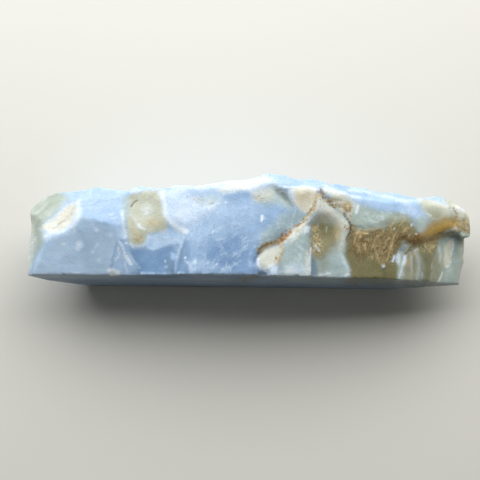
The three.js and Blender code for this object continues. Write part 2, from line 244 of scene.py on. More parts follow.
GREEN = [
    area([(-1, -1), (-1, 14), (4.8, 12.4), (6.1, 11.3), (5.2, 10.2), (4, 9), (2.8, 7.7), (2, 6.7),
          (2.9, 5.6), (2.3, 4.2), (1.4, 2.8), (0.6, 0.4), (0.8, -1)], 0.6, 6),
    area([(13.9, 11.8), (14.1, 6.9), (14.7, 5.5), (15.3, 6), (14.9, 8.2), (14.7, 11.8)], 0.35, 2, 0.6),
    area([(24.9, 10.7), (26.4, 11.4), (28.2, 11.6), (28.5, 10.7), (27.1, 9.8), (25.6, 9.8)], 0.8, 1, 0.6),
    area([(34.2, 6.1), (35.9, 7.2), (37.7, 9.2), (39.1, 9.7), (40.8, 9.3), (39.2, 7), (37.8, 6), (36.5, 5),
          (34.2, 3.8)], 0.9, 4, 0.75),
    area([(33.3, 11), (36, 12.9), (37.3, 12.6), (38.8, 11), (38.5, 9.5), (36.8, 10.5), (34.8, 10.2)],
         0.8, 2, 0.8),
    area([(37, -1), (37.2, 4), (42.6, 12.3), (48, 8.4), (47.4, 3.9), (47.8, -1)], 0.5, 8, 0.8),
    area([(46.8, 10.5), (48.9, 10.6), (51, 9.9), (53.2, 9.6), (55.2, 9.9), (56.8, 8.8), (56.6, 7.6),
          (52.3, 7.4), (51, 6.2), (49.2, 6.3), (47.6, 7.4)], 0.6, 2),
    area([(54.2, -1), (53.9, 3), (54.6, 5.2), (57.3, 5.9), (60, 7.2), (63.9, 8), (67, 7.5), (66, -1)],
         0.5, 9),
    area([(64.4, -1), (64.4, 13), (67, 13), (67, -1)], 0.5, 8, 0.7),
    area([(57, 8.9), (58.5, 9.4), (59.4, 8.9), (58.6, 7.6), (57.4, 6.9), (56.9, 7.6)], 0.5, 1, 0.9),
]
SAGE = [
    area([(61.4, 12.4), (66, 12.8), (66, 7), (62.8, 7.6), (62.4, 10)], 0.5, 4),
    area(LEFT_CORNER, 0.6, 5, 0.3),
    area([(14.9, 11.5), (15.5, 12), (17.3, 12.4), (19.8, 12.3), (20.2, 10.2), (20.3, 8.7), (20.8, 7.5),
          (20.4, 6.3), (19, 6.1), (17.8, 5.7), (17.6, 4.7), (17, 4.1), (15.7, 4), (15, 4.6), (14.9, 6.5),
          (14.7, 8.4), (14.8, 10.3)], 0.5, 4),
    area([(57.4, 11.9), (59.8, 11.9), (61.7, 11.4), (62.8, 9.9), (63.1, 9), (61, 8.7), (59.3, 8.9),
          (58.6, 10), (57.6, 11.2)], 0.6, 4),
    area([(63, 8), (63.4, 9.6), (66, 9.6), (66, 6.8), (63.6, 7.2)], 0.5, 3, 0.6),
    area(GLASSY_CHIP, 0.2, 1),
    area([(56, 4), (57, 4.4), (57.9, 4), (58, 2), (57.8, -1), (55.3, -1), (55.6, 2)], 0.6, 5, 0.8),
    area([(59.6, 3.6), (60.9, 4.6), (61.5, 3.6), (61.2, 1.5), (60.6, -1), (59.7, -1)], 0.6, 5, 0.7),
    area([(44, 11.2), (45.2, 12.2), (47, 11.6), (48.4, 10.6), (47.6, 9.3), (46.5, 9.4), (44.9, 10.3)],
         0.5, 2, 0.9),
    area([(39.1, 12.4), (41.4, 12.5), (42.2, 11.6), (41.4, 10.4), (39.8, 10.2), (39, 11.2)], 0.6, 2, 0.95),
    area([(33.9, 3), (35.6, 4.1), (37.2, 4.4), (37.2, 2.4), (35.6, 1), (34, 1.2)], 0.4, 3, 0.9),
    # Partly the pale grey-green of the right end, partly painted light lifting it out of shade
    area([(63.2, -1), (63.5, 4), (64.2, 6.8), (66, 6.8), (66, -1)], 0.6, 9, 0.6),
]
CREAM = [
    area([(1.8, 6.7), (3.4, 7.9), (4.8, 9.2), (6.1, 10.3), (6.9, 10.9), (7.3, 9.1), (7.1, 7.8), (6.4, 6.8),
          (5.5, 6.3), (4.6, 5.8), (3.6, 5.9), (2.8, 6.3)], 0.4, 2, 0.85),
    area([(28, 12.5), (29.8, 13.2), (32.7, 13.6), (32.7, 12.5), (30.6, 12.2), (28.7, 12)], 0.5, 1, 0.7),
    area([(32.7, 12.2), (34.1, 12.9), (36, 12.9), (36.2, 11.6), (35.6, 11), (34.7, 10.9), (33.4, 11)],
         0.7, 2, 0.6),
    area([(38.5, 12.8), (40.5, 13.1), (42.2, 12.5), (42.7, 11.8), (42.4, 10.7), (41.7, 9.7), (40.9, 9.3),
          (40.1, 9.6), (39.3, 10.3), (38.7, 11.2), (38.3, 12)], 0.35, 4),
    area([(34, 3), (34.3, 3.5), (35.6, 4), (37, 4.4), (37.2, 3.4), (36.9, 1.9), (35.4, 1.1), (34.2, 0.8),
          (33.8, 1.6), (33.8, 2.4)], 0.3, 3, 0.3),
    area([(42.7, 11.8), (43.5, 11.1), (44.9, 9.9), (46.4, 9), (46.9, 8.3), (47.4, 7.4), (46.9, 6.5),
          (46.6, 5.4), (46.2, 4.1), (45.8, 3.1), (45.6, 4.7), (45.7, 6.3), (45.6, 7.7), (45, 8.9),
          (43.8, 9.3), (42.4, 9), (42, 9.2), (42.4, 10.4)], 0.5, 4, 0.6),
    area([(43.3, 12.6), (44.9, 12.7), (46.7, 12.1), (48, 11), (46.9, 11.4), (44.9, 11.7), (43.8, 11.8)],
         0.4, 2, 0.8),
    area([(57.7, 11.9), (60.2, 11.9), (62.2, 11.2), (62.9, 10), (61.8, 10.8), (60, 11.4)], 0.4, 2, 0.7),
    area([(62.9, 12.7), (66, 12.4), (66, 10), (63.4, 10.1)], 0.4, 4),
    area(GLASSY_CHIP, 0.22, 1, 0.55),
    area([(37.9, 5.2), (39, 6.3), (40.2, 7.4), (41, 7.6), (39.9, 6), (38.7, 4.9)], 0.5, 2, 0.6),
    area([(17.8, 8.4), (20, 8.2), (20.2, 6.6), (18, 6.4)], 0.6, 1, 0.28),
    line([(41.2, 3.6), (41.3, 2.5), (41.4, 0.3)], 0.6, 0.3, 0.6, 1),
    # Painted light lifting the left end, which faces away from the light
    area([(-1, -1), (-1, 9), (0.8, 7.6), (1.3, 5.6), (0.8, 2.4), (0.3, -1)], 0.7, 8, 0.5),
]
OLIVE = [
    area([(39.1, 12.2), (41.2, 12.3), (42, 11.6), (41.4, 10.6), (40, 10.5)], 0.8, 2, 0.15),
    area([(55.2, -1), (55.2, 4.2), (57.4, 6.2), (61, 6.4), (61.6, 2), (61, -1)], 0.8, 8, 0.6),
    area([(15.1, 8.9), (15.8, 8.3), (17.4, 6.8), (17.7, 5.2), (16.9, 4.4), (15.7, 4.4), (15.2, 5.2),
          (15.1, 7)], 0.6, 4, 0.28),
    area([(17.7, 7.7), (18.8, 8.2), (20, 7.6), (20.1, 6.8), (19.2, 6.5), (17.9, 6.6)], 0.7, 2, 0.18),
    area([(41.6, 7.4), (42.6, 8.3), (43.8, 8.4), (45, 7.9), (45.7, 7), (45.7, 5.6), (45.2, 4.4), (44.4, 3.4),
          (43.2, 2.6), (42.2, 2.6), (41.7, 3.8), (41.5, 5.8)], 0.9, 4),
    area([(47.5, 7.7), (48.7, 7.1), (50.3, 6.9), (51.6, 7.3), (53.2, 8), (55.3, 8.9), (56.9, 8.1),
          (58.2, 6.8), (56.5, 5), (55.3, 5.5), (54.3, 3.6), (54.5, 1.9), (54.4, -1), (47.5, -1), (47.3, 1.3),
          (46.5, 3.2)], 0.45, 9),
    area([(53.8, 8.8), (55.5, 9.6), (57, 8.6), (57.4, 7.2), (55, 6.6), (53, 7.2)], 0.8, 1, 0.7),
    area([(57.4, 6.4), (59.4, 6.6), (60.8, 6.4), (60.9, 5.2), (60.2, 3.8), (59.9, 1.6), (59.6, -1),
          (58.4, -1), (58.4, 2.4), (57.6, 3.8), (56.6, 4.6)], 0.7, 8, 0.9),
    area([(57.9, 6.5), (59.5, 9), (62.5, 9.6), (63.6, 9), (63.4, 7.6), (60.5, 6.3)], 0.7, 2, 0.8),
    area([(59, 10.6), (60.4, 10.5), (62, 9.8), (62.2, 9.2), (60.6, 9), (59.5, 9.3)], 0.6, 2, 0.38),
    area([(63.2, 9.2), (64.9, 9.4), (66, 7.8), (66, 6.9), (63.7, 7.5)], 0.4, 4, 0.8),
    line([(34, 3.6), (34.4, 4), (35.2, 4.4), (36.3, 4.8), (37.2, 5.4)], 0.7, 0.35, 0.9, 2),
    area([(44.4, 11.3), (45.2, 11.5), (46.9, 11), (47.7, 10), (47.2, 9.4), (46.5, 9.4), (44.9, 10.3)],
         0.5, 2, 0.45),
    area([(42.1, 2.9), (44, 2.9), (44.8, 1.8), (43.6, 0.4), (42.6, 0.2)], 0.9, 4, 0.4),
    area([(51.8, 8.2), (54.6, 9.8), (56.6, 9), (57.2, 7.4), (53, 7)], 0.8, 1, 0.6),
    area([(55.4, 2.3), (55.9, 1.9), (56.5, 3), (57.2, 3.9), (56.7, 4.2), (56, 3.3)], 0.25, 2, 0.8),
    line([(36.4, 13), (37.4, 12.2), (38.4, 11)], 0.8, 0.5, 0.35, 1),
    area(LEFT_CORNER, 0.6, 4, 0.14),
]
TAN = [
    area([(15.6, 5.8), (16.6, 5.6), (17.2, 5), (16.8, 4.6), (16.1, 4.7), (15.6, 5.2)], 0.5, 1, 0.28),
    area([(24, 11.5), (25.8, 11.5), (25.7, 10.8), (24.4, 10.8)], 0.5, 1, 0.26),
    area([(33, 11.4), (34, 11.7), (34.8, 11.2), (33.8, 10.7)], 0.4, 1, 0.34),
    line(WEDGE_SIDE, 0.3, 0.25, 0.5, 2),
    line([(33.8, 3.5), (34.6, 4.2), (35.8, 4.6), (37, 5.1)], 0.5, 0.35, 0.6, 2),
    area([(36.3, 2.6), (37.1, 2.9), (37, 1.9), (36.4, 1.8)], 0.3, 1, 0.7),
    line([(37.4, 5), (38.3, 6.2), (39.6, 7.1), (40.5, 8.2), (41.2, 9), (41.8, 9.6), (42.3, 10.5),
          (42.5, 11.4)], 0.7, 0.35, 0.7, 2),
    area([(41.5, 8), (42.3, 8.2), (42.8, 6.6), (43.3, 4.8), (43.2, 3.2), (42.3, 2.7), (41.7, 3.6),
          (41.5, 5.6)], 0.5, 1, 0.4),
    area([(41.3, 7.6), (42.1, 8), (42.4, 7.2), (41.8, 6.4)], 0.3, 1, 0.8),
    area([(44.2, 11.2), (45.2, 11.3), (46.9, 11), (47.8, 10), (47.3, 9.2), (46.3, 9.5), (44.9, 10.5)],
         0.4, 1, 0.7),
    area([(48.1, 6.3), (48.6, 7), (50.3, 6.7), (50, 6.1), (48.6, 5.8)], 0.3, 1, 0.9),
    area([(48, 7), (50, 6.6), (53, 7.4), (56.4, 7.6), (55, 5.2), (53.4, 2.6), (51.8, 2.6), (49, 3.8)],
         0.9, 2, 0.54),
    area([(57.4, 6), (60.6, 6.6), (61, 5.6), (59.6, 4.2), (57.4, 4.4)], 0.6, 2, 0.45),
    area([(63.5, 9.3), (65.2, 9.1), (65.2, 7.6), (63.7, 7.5)], 0.6, 2, 0.5),
    line([(47, 9.3), (47.6, 8), (47.9, 7.5)], 0.5, 0.25, 0.7, 1),
]
BROWN = [
    area([(47.6, 7.2), (50.3, 6.8), (51.6, 7.2), (53.5, 7.2), (55.6, 7.4), (57, 6.6), (55.6, 5.4), (54, 3.9),
          (53, 2.4), (51.8, 3.2), (50, 3.9), (47.6, 4.2), (47, 5.4)], 0.8, 5, 0.55),
    area([(56.1, 5.5), (56.6, 6.6), (57.4, 7), (58.4, 6.5), (58.3, 5.6), (57, 4.8)], 0.4, 2),
    area([(54, 6.8), (56.4, 7.3), (57.4, 6.4), (56, 5.6), (54.4, 5.6)], 0.6, 2, 0.6),
    area([(47.6, 6.2), (50.4, 6), (50.9, 3.8), (48.6, 2.4), (47.3, 4)], 0.8, 4, 0.68),
    line([(62.9, 10.7), (63.3, 10.2), (63.2, 9.4)], 0.4, 0.25, 0.7, 2),
    line([(63.2, 9), (63.5, 8.2), (63.7, 7.6)], 0.25, 0.25, 0.5, 3),
    area([(63.4, 8.2), (64.7, 8), (64.9, 7.2), (64, 7.1)], 0.5, 1, 0.5),
    line([(42.9, 12.4), (43.4, 11.7), (44.1, 11), (44.9, 10.4)], 0.6, 0.3, 0.8, 3),
    line([(46.3, 9.5), (46.7, 8.9), (47.5, 7.7), (47.3, 6.6), (46.9, 5.6)], 0.3, 0.2, 0.9, 2),
    line([(33.6, 2.6), (33.9, 3.4), (34.4, 3.8)], 0.3, 0.25, 0.5, 2),
    line([(55.3, 3.3), (56.2, 4.2), (57, 4.9)], 0.4, 0.25, 0.6, 1),
    line([(41.6, 3), (41.55, 4.4), (41.5, 5.8)], 0.25, 0.25, 0.5, 1),
]
AMBER = [
    area([(57.9, 6.9), (59.6, 8.5), (61.7, 9.1), (63.2, 9.1), (63.5, 8.2), (63, 7.7), (61.7, 7.1),
          (60.5, 6.5), (59.1, 6.3), (58.1, 6.3)], 0.9, 2, 0.75),
    area([(58.9, 6.9), (60.4, 7.9), (62.3, 8.4), (62.6, 7.9), (60.7, 6.9)], 0.6, 2, 0.9),
]
RUST = [
    area([(36.7, 4.6), (37.2, 5.9), (38.2, 6.7), (39, 6.9), (38.7, 6.2), (38, 5.4), (37.5, 4.7)],
         0.35, 3, 0.85),
    line([(34.3, 3.9), (35.2, 4.4)], 0.4, 0.35, 0.4, 3),
    line([(35.7, 4.6), (37.1, 5.1)], 0.5, 0.35, 0.45, 3),
    line([(38.7, 6.6), (39.5, 7.3), (40.4, 8.3)], 0.4, 0.35, 0.4, 2),
    line([(41, 9.1), (41.7, 9.8)], 0.3, 0.3, 0.3, 2),
    line([(42.8, 12.3), (43.5, 11.5), (44.2, 10.9)], 0.35, 0.3, 0.2, 2),
    area([(46.4, 7.5), (47.2, 7.6), (47.3, 6.9), (46.5, 6.7)], 0.35, 1, 0.45),
    area([(56.4, 6), (57.4, 6.8), (58.5, 6.4), (57.6, 5.3), (56.6, 5.2)], 0.5, 1, 0.2),
    line([(58, 6), (59.3, 6.2), (60.6, 6.5)], 0.4, 0.35, 0.25, 1),
    line([(48.6, 6.7), (49.3, 6.5)], 0.25, 0.2, 0.6, 1),
]
INK = [
    line([(15.2, 9.9), (15.5, 10.4), (16.2, 10.9)], 0.16, 0.14),
    line([(4.6, 7.3), (5.1, 7.7), (5.6, 8)], 0.1, 0.16, 0.7),
    line([(4, 6.7), (4.6, 7)], 0.1, 0.16, 0.5),
    line([(5.8, 8.3), (6.6, 9)], 0.08, 0.16, 0.5),
    line([(9.6, 10.6), (11.5, 10.9), (13.5, 11.3)], 0.05, 0.14, 0.3),
    spot(23.6, 11.3, 0.08, 0.14, 0.7),
    line([(26.9, 10.3), (27.4, 10.4)], 0.12, 0.14, 0.7),
    line([(36, 13.1), (36.6, 13)], 0.1, 0.14, 0.6),
    line([(42.9, 12.5), (43.4, 11.9), (44, 11.4)], 0.1, 0.16, 0.5, 1),
    line([(46.6, 9), (47, 8.4), (47.5, 7.6), (47.2, 6.6), (46.9, 5.8)], 0.08, 0.16, 0.45, 1),
    line([(48.7, 7.1), (49.4, 6.9), (50.3, 6.8), (51, 6.9), (51.6, 7.2)], 0.16, 0.16, 0.55, 1),
    line([(36.7, 5.3), (37.3, 6), (38, 6.7)], 0.2, 0.3, 0.35, 1),
    line([(49, 6.8), (48.6, 6.2), (48.2, 5.4)], 0.1, 0.16, 0.5, 1),
    line([(49.5, 5.9), (49.5, 5.1)], 0.16, 0.18, 0.5, 1),
    line([(52.4, 1.6), (52.4, 0.2)], 0.2, 0.2, 0.4, 1),
    line([(42.6, 12.7), (43.2, 13), (43.9, 13.2)], 0.06, 0.14, 0.3, 1),
    line([(35.6, 13.2), (37, 13.4), (38.6, 13.3)], 0.06, 0.14, 0.35, 1),
]
# Milky white of the opal, with painted light: its smallest spots are painted glints, the pale bands along
# the back rim a painted highlight, and some patches lift faces that lie in shade
MILK_AND_PAINTED_LIGHT = [
    line([(2.6, 5.3), (3.5, 5.7), (4.8, 5.7), (6, 6.3), (7, 7), (7.6, 8.2), (7.7, 9.4), (7.5, 10.8)],
         0.7, 0.45, 0.85, 1),
    area([(3, 9.6), (5.2, 11.2), (7, 11.4), (6.4, 10.4), (4.4, 9), (2.6, 7.8), (1.8, 7.6)], 0.5, 1, 0.12),
    line([(14, 9.1), (14.2, 6.7), (14.5, 5.3)], 0.4, 0.35, 0.7),
    spot(8, 4.2, 0.45, 0.4, 0.8),
    spot(7.7, 3.6, 0.3, 0.3, 0.85),
    spot(7.2, 6.2, 0.3, 0.4, 0.55),
    spot(10.3, 6.3, 0.25, 0.35, 0.65),
    spot(12.3, 5.5, 0.3, 0.4, 0.5),
    spot(11, 5.2, 0.2, 0.4, 0.3),
    line([(9.6, 7.5), (9.9, 6.8), (10.2, 6.3)], 0.2, 0.35, 0.3),
    line([(11.8, 5.6), (12.4, 5.6)], 0.4, 0.35, 0.4),
    spot(9.9, 3.3, 0.15, 0.2, 0.6),
    line([(10.2, 3.8), (10.6, 4.3)], 0.12, 0.18, 0.5),
    line([(5.4, 4.2), (5.8, 4.2)], 0.2, 0.2, 0.6),
    spot(10.7, 2.1, 0.35, 0.4, 0.3),
    spot(14.7, 4.4, 0.2, 0.18, 0.9),
    line([(13.5, 4.7), (14.1, 4.2), (14.5, 3.4), (14.6, 2.7), (14.9, 2)], 0.2, 0.2, 0.9),
    line([(14.8, 2.7), (15.1, 2.2), (15.4, 1.6)], 0.35, 0.18, 0.95),
    line([(13.6, 3.7), (13.8, 2.8), (13.4, 2.2)], 0.2, 0.18, 0.75),
    line([(15.3, 2.9), (15.8, 2.1), (16.7, 0.9)], 0.16, 0.22, 0.5),
    line([(14.5, 1.7), (14.9, 0.4)], 0.16, 0.2, 0.5),
    area([(12.1, 1), (13, 1), (13.9, 0.6), (13.8, 0), (12.6, 0), (12, 0.7)], 0.16, 0.8, 0.95),
    area([(17.8, 5.4), (20.6, 6.5), (22.9, 6.1), (22.5, 4.8), (20.6, 4.6), (18.7, 4.1)], 0.5, 0.8, 0.3),
    # Painted light lifting the steep upper right end out of its shade
    area([(63.2, 12.6), (66, 12.2), (66, 10.4), (63.6, 10.4)], 0.5, 3, 0.6),
    line([(20, 12), (20.3, 10.5), (20.4, 9.7), (20.6, 8.5), (21.3, 7.5), (22.3, 6.8), (23.4, 6.4)],
         0.9, 0.4, 1, 1),
    area([(20.1, 12.6), (20.3, 9.2), (21.4, 8), (23.4, 6.8), (25, 8.2), (27.6, 9.6), (28, 10.4),
          (25.4, 10.6), (23.6, 11.8), (23.2, 12.6)], 1.1, 1, 0.7),
    line([(15.2, 4.2), (15.8, 3.9), (17, 4), (17.8, 4.5), (18.1, 5.4)], 0.4, 0.35, 0.55),
    line([(23.4, 6.5), (22.8, 4.7), (22.3, 3), (22.1, 1.6), (21.9, 0.3)], 0.26, 0.24, 0.45),
    line([(34, 0.05), (47, 0.05)], 0.25, 0.25, 0.5, 0.6),
    line([(55, 0.05), (64.5, 0.05)], 0.25, 0.25, 0.35, 0.6),
    line([(17.5, 4.3), (18.1, 3.9), (18.7, 3.7), (19.9, 4.2), (20.8, 4.6)], 0.14, 0.2, 0.4),
    # Painted glints: the small bright spots here and further on
    spot(20.4, 2.1, 0.14, 0.14, 0.8),
    spot(20.6, 1.2, 0.2, 0.25, 0.45),
    spot(23.3, 2.4, 0.14, 0.14),
    spot(23.6, 1.7, 0.14, 0.16, 0.7),
    line([(23.3, 1.9), (24, 1.5), (24.3, 0.4)], 0.2, 0.25, 0.5),
    line([(16.5, 7.3), (16.8, 6.8), (17.4, 6.5)], 0.3, 0.2, 0.85),
    line([(15.2, 8.8), (15.9, 7.9), (16.7, 7)], 0.5, 0.4, 0.35),
    line([(17.3, 8.9), (17.9, 9)], 0.2, 0.16, 0.9),
    area([(17.1, 10.2), (18.1, 10.1), (18.4, 9.1), (17.4, 9), (16.6, 9.5)], 0.5, 0.8, 0.4),
    spot(27.3, 6.4, 0.14, 0.14, 0.9),
    spot(28, 8.9, 0.14, 0.2, 0.5),
    spot(29.2, 10.4, 0.18, 0.18, 0.9),
    spot(29.1, 11.8, 0.14, 0.2, 0.7),
    line([(30.8, 2.9), (31.6, 3.4), (32.4, 4.3)], 0.16, 0.25, 0.35),
    line([(34.35, 8.6), (34.2, 8)], 0.36, 0.14),
    spot(34.6, 8.3, 0.14, 0.14, 0.8),
    # Painted highlight along the back rim, where it faces the light
    area([(27, 12.8), (31.2, 12.7), (33.3, 12.5), (34.7, 13.2), (36.8, 13.3), (36.1, 14.6), (35, 15),
          (31.2, 14.6), (26, 14.2), (20, 13.6), (18, 12.9), (22, 12.5)], 0.8, 2.5, 0.75),
    area([(16.5, 12.9), (21, 12.3), (27, 12.5), (28, 14.6), (18, 13.9)], 0.7, 2, 0.5),
    line([(37, 12.2), (37.5, 12.3), (38, 12)], 0.18, 0.18, 0.8),
    line([(37.5, 12.9), (38.6, 13), (40.5, 13.2), (42.2, 12.6), (42.8, 12.5)], 0.3, 0.25, 0.9),
    line([(43.9, 13.1), (44.9, 12.5), (46.3, 12.3), (48.7, 11.6)], 0.5, 0.45, 0.7),
    area([(38.2, 12.4), (39.1, 12.7), (39.2, 11.1), (38.7, 11), (38.1, 11.9)], 0.35, 1, 0.85),
    line([(38.8, 10.8), (39.2, 9.7), (39, 8.7), (38.9, 7)], 0.1, 0.2, 0.35),
    line([(37.7, 4.9), (38.2, 5.6), (39.2, 6.4), (40.1, 7.3), (41.1, 8.1), (41.9, 8.8), (42.5, 9.7),
          (42.8, 11)], 0.25, 0.22, 0.8, 1),
    line([(33.8, 2.4), (33.9, 1.5), (34.3, 1), (35.3, 1.2), (36, 1.5)], 0.35, 0.3, 0.75, 1),
    line([(34.6, 0.9), (35.2, 0.7), (35.5, 0.1)], 0.25, 0.18, 0.9),
    area([(35.4, 1.1), (36.9, 1.7), (37.4, -0.5), (35.4, -0.5)], 0.35, 1, 0.6),
    area([(38, 1.6), (39.8, 2), (41, 1.4), (41.3, 0.2), (38, -0.3)], 0.6, 1, 0.6),
    line([(41.5, 4.2), (41.6, 3.2), (41.65, 2), (41.7, 0.1)], 0.22, 0.16),
    line([(41.9, 0.1), (40.9, 0.3), (40.1, 0.1)], 0.3, 0.3, 0.5, 0.6),
    area([(40.5, 6.2), (40.7, 7.4), (41.3, 7.3), (41.2, 6.4)], 0.2, 1, 0.85),
    line([(41.8, 8.2), (42.6, 9), (43.4, 9.3), (44.4, 9.5)], 0.16, 0.25, 0.45),
    # Painted light lifting the shaded upper wall of the bowl
    area([(42.3, 8.9), (43.2, 9.9), (44.4, 9.8), (45.3, 9), (44.4, 8.9), (43.4, 8.9)], 0.5, 1, 0.6),
    # Painted light lifting the left end, which faces away from the light
    area([(-1, -1), (-1, 8), (0.8, 7), (1.3, 5.4), (0.8, 2.4), (0.3, -1)], 0.6, 8, 0.32),
    line([(42.3, 4.6), (42.7, 4.1), (42.9, 3.8)], 0.25, 0.2, 0.6),
    line([(43.8, 7.4), (43.75, 6.8)], 0.12, 0.18, 0.4),
    line([(43, 0.3), (43.6, 0.3), (44.4, 0.5)], 0.25, 0.2, 0.8),
    line([(46.8, 0.3), (47.2, 0.6)], 0.3, 0.18, 0.9),
    line([(46, 3.2), (46.6, 2), (47.2, 1.1)], 0.3, 0.35, 0.6),
    line([(44.7, 10.8), (45.5, 10.9), (46.2, 11)], 0.25, 0.25, 0.5),
    line([(45.7, 10.1), (46.5, 9.6), (47.1, 8.9), (47.7, 9.7), (48.1, 10.7)], 0.16, 0.2, 0.6),
    line([(48.55, 10.4), (48.35, 9.9), (48.2, 9.4)], 0.38, 0.16),
    line([(47.3, 13), (49.8, 12.7), (52.3, 12.1), (54.8, 11.8), (57.7, 11.7)], 0.4, 0.4, 0.7, 1),
    line([(55.4, 11.4), (56.4, 10.6), (57, 9.8)], 0.7, 0.5, 0.55, 1),
    line([(56, 9.9), (56.9, 10.9)], 0.4, 0.35, 0.4, 1),
    line([(62.8, 4.4), (63.1, 5), (63.25, 5.8), (63.15, 6.5)], 0.22, 0.18, 0.7),
    line([(62.2, 2.3), (62.6, 2.5), (62.9, 3.1)], 0.16, 0.18, 0.7),
    line([(61.4, 1.5), (61.1, 0.8), (60.7, 0.1)], 0.2, 0.18, 0.8),
    line([(57.3, 4), (57.7, 3), (57.8, 1.6), (57.6, 0.2)], 0.4, 0.4, 0.35, 1),
    line([(55.2, 1.7), (54.9, 0.9), (54.7, 0.2)], 0.22, 0.2, 0.6, 1),
    line([(60.9, 5.2), (61.1, 4.2), (61, 3.2)], 0.35, 0.3, 0.45, 1),
    area([(54.6, 4), (55, 3.2), (54.7, 2.2), (54.2, 2.7), (54.1, 3.4)], 0.25, 1, 0.6),
    area([(55.4, 3.6), (55.9, 3.6), (55.8, 2.6), (55.4, 1.9), (55.1, 2.1)], 0.2, 0.8, 0.75),
    line([(53.9, 3.4), (53.7, 2.7)], 0.3, 0.16),
    spot(52.4, 1.9, 0.2, 0.16),
    spot(53.9, 7.4, 0.14, 0.14, 0.8),
    spot(56.6, 8.1, 0.16, 0.16),
    spot(57.3, 6.9, 0.14, 0.14, 0.9),
    line([(58.9, 9.9), (59.4, 9.7)], 0.2, 0.16, 0.9),
    line([(57.1, 4.3), (57.6, 4.6)], 0.25, 0.18, 0.7),
    line([(61.6, 7.2), (62.4, 7.5), (63.3, 7.8)], 0.16, 0.2, 0.6),
    line([(2.5, 0.2), (3, 0.2)], 0.25, 0.2, 0.6),
    line([(7.2, 0.3), (8, 0.3)], 0.25, 0.2, 0.6),
    line([(15.5, 12.4), (18, 12.8), (20, 12.9)], 0.5, 0.5, 0.6),
]
# Dark blue-grey, partly darker blue patches and partly painted shade: beside the step right of the crack at
# u 41.7, by the chips, along the groove and under the fan
DARK_BLUE_AND_SHADE = [
    area([(41.75, 3.2), (42.3, 2.4), (42.7, 1.1), (42.5, -0.5), (41.75, -0.5)], 0.25, 2, 0.8),
    area([(20.6, 2.9), (21.6, 2.4), (22, 2), (21.8, -0.5), (20.4, -0.5)], 0.3, 1, 0.6),
    area([(22.7, 4), (23.6, 3.4), (23.4, 2.6), (22.8, 1.4), (22.6, 2.5)], 0.3, 1, 0.5),
    area([(54.5, 4.9), (55.2, 5.2), (55.8, 4.7), (55.6, 3.8), (54.9, 4)], 0.3, 1, 0.6),
    area([(63.2, -0.5), (63.4, 5.5), (63.9, 6.8), (64.3, 4), (64.1, -0.5)], 0.4, 3, 0.2),
    area([(35.2, 5.4), (36.6, 7.6), (38.4, 9.4), (39.8, 8.8), (38.2, 6.8), (36.6, 5.3)], 0.8, 1, 0.28),
    line([(13.4, 4.6), (12.9, 2.9), (12.5, 1.4)], 0.3, 0.3, 0.4, 1),
    area([(7.5, 6.6), (13, 6.3), (13, 4.4), (12, 0.4), (9.5, 0.6), (8, 2.8)], 1.2, 1, 0.26),
]

# Pale fibres of the brown break and of the cream patch, each a short thin line
FIBRES = [
    [(48.7, 7.1), (48.3, 5.9), (48.1, 5.1)],
    [(51.4, 6.4), (51, 5.2), (50.8, 4.3)],
    [(53.1, 6.1), (52.6, 5.5), (52.5, 4.8)],
    [(54, 6.5), (53.5, 5.3), (53.5, 4.2)],
    [(55.5, 9), (55.1, 8.3), (54.7, 7.9)],
    [(56, 7.8), (55.2, 6.6), (54.8, 6.1)],
    [(53.4, 4.9), (53.1, 3.8), (52.8, 2.8)],
    [(49.8, 4.9), (49.7, 4.1)],
    [(51.3, 3.8), (51.7, 2.8), (52.2, 2)],
    [(48.9, 5.1), (48.8, 3.9)],
    [(52.3, 7.2), (51.8, 6.6), (51.5, 6)],
    [(55.7, 2.4), (56.4, 3.2), (57.2, 4)],
    [(56, 2), (56.3, 2.8)],
    [(58.7, 5.3), (59, 4.6)],
    [(59.9, 5.6), (60, 4.9)],
    [(54, 8.8), (53.2, 7.6)],
    [(15, 7.8), (15.5, 6.9), (16.2, 6), (16.6, 5.4)],
]
SAND = [line(points, 0.14, 0.2, 0.75, 1) for points in FIBRES] + [
    line([(48.5, 7.3), (49.4, 7.15), (50.3, 7.05), (51, 7.15), (51.7, 7.5)], 0.14, 0.16, 0.8, 1),
    line([(48.3, 6.6), (49, 6.75), (49.9, 6.6)], 0.3, 0.2, 0.7, 1),
    line([(4.1, 7.05), (5.4, 8.2), (7, 9.9)], 0.12, 0.2, 0.55),
    line([(3.3, 6.7), (4.6, 7.7), (6, 9.2)], 0.12, 0.2, 0.45),
    line([(5, 7), (6.2, 8.1), (7, 9)], 0.12, 0.2, 0.4),
    line([(5.2, 8.8), (6, 9.7)], 0.12, 0.2, 0.4),
    line([(42.4, 9.5), (43, 10.8), (42.9, 11.9)], 0.3, 0.25, 0.6, 1),
    line([(37.8, 5.2), (38.6, 6.1), (39.6, 6.8), (40.8, 8)], 0.2, 0.2, 0.7, 1),
    area([(39.5, 12), (41.2, 12.1), (41.6, 11.4), (41, 10.7), (40, 10.9)], 0.7, 1, 0.32),
    area([(17.8, 7.9), (19.2, 8), (19.5, 7.1), (18.4, 6.7), (17.8, 7.1)], 0.4, 1, 0.4),
    area([(44.9, 8.4), (45.9, 8), (46.2, 6.2), (45.6, 5), (45, 6.4)], 0.6, 1, 0.4),
    line(WEDGE_SIDE, 0.35, 0.25, 0.75, 2),
    # Painted light lifting the shaded upper wall of the bowl
    area([(42.2, 8.6), (43.2, 9.8), (44.6, 9.6), (45.4, 8.7), (44.4, 8.4), (43.2, 8.3)], 0.6, 1, 0.4),
]

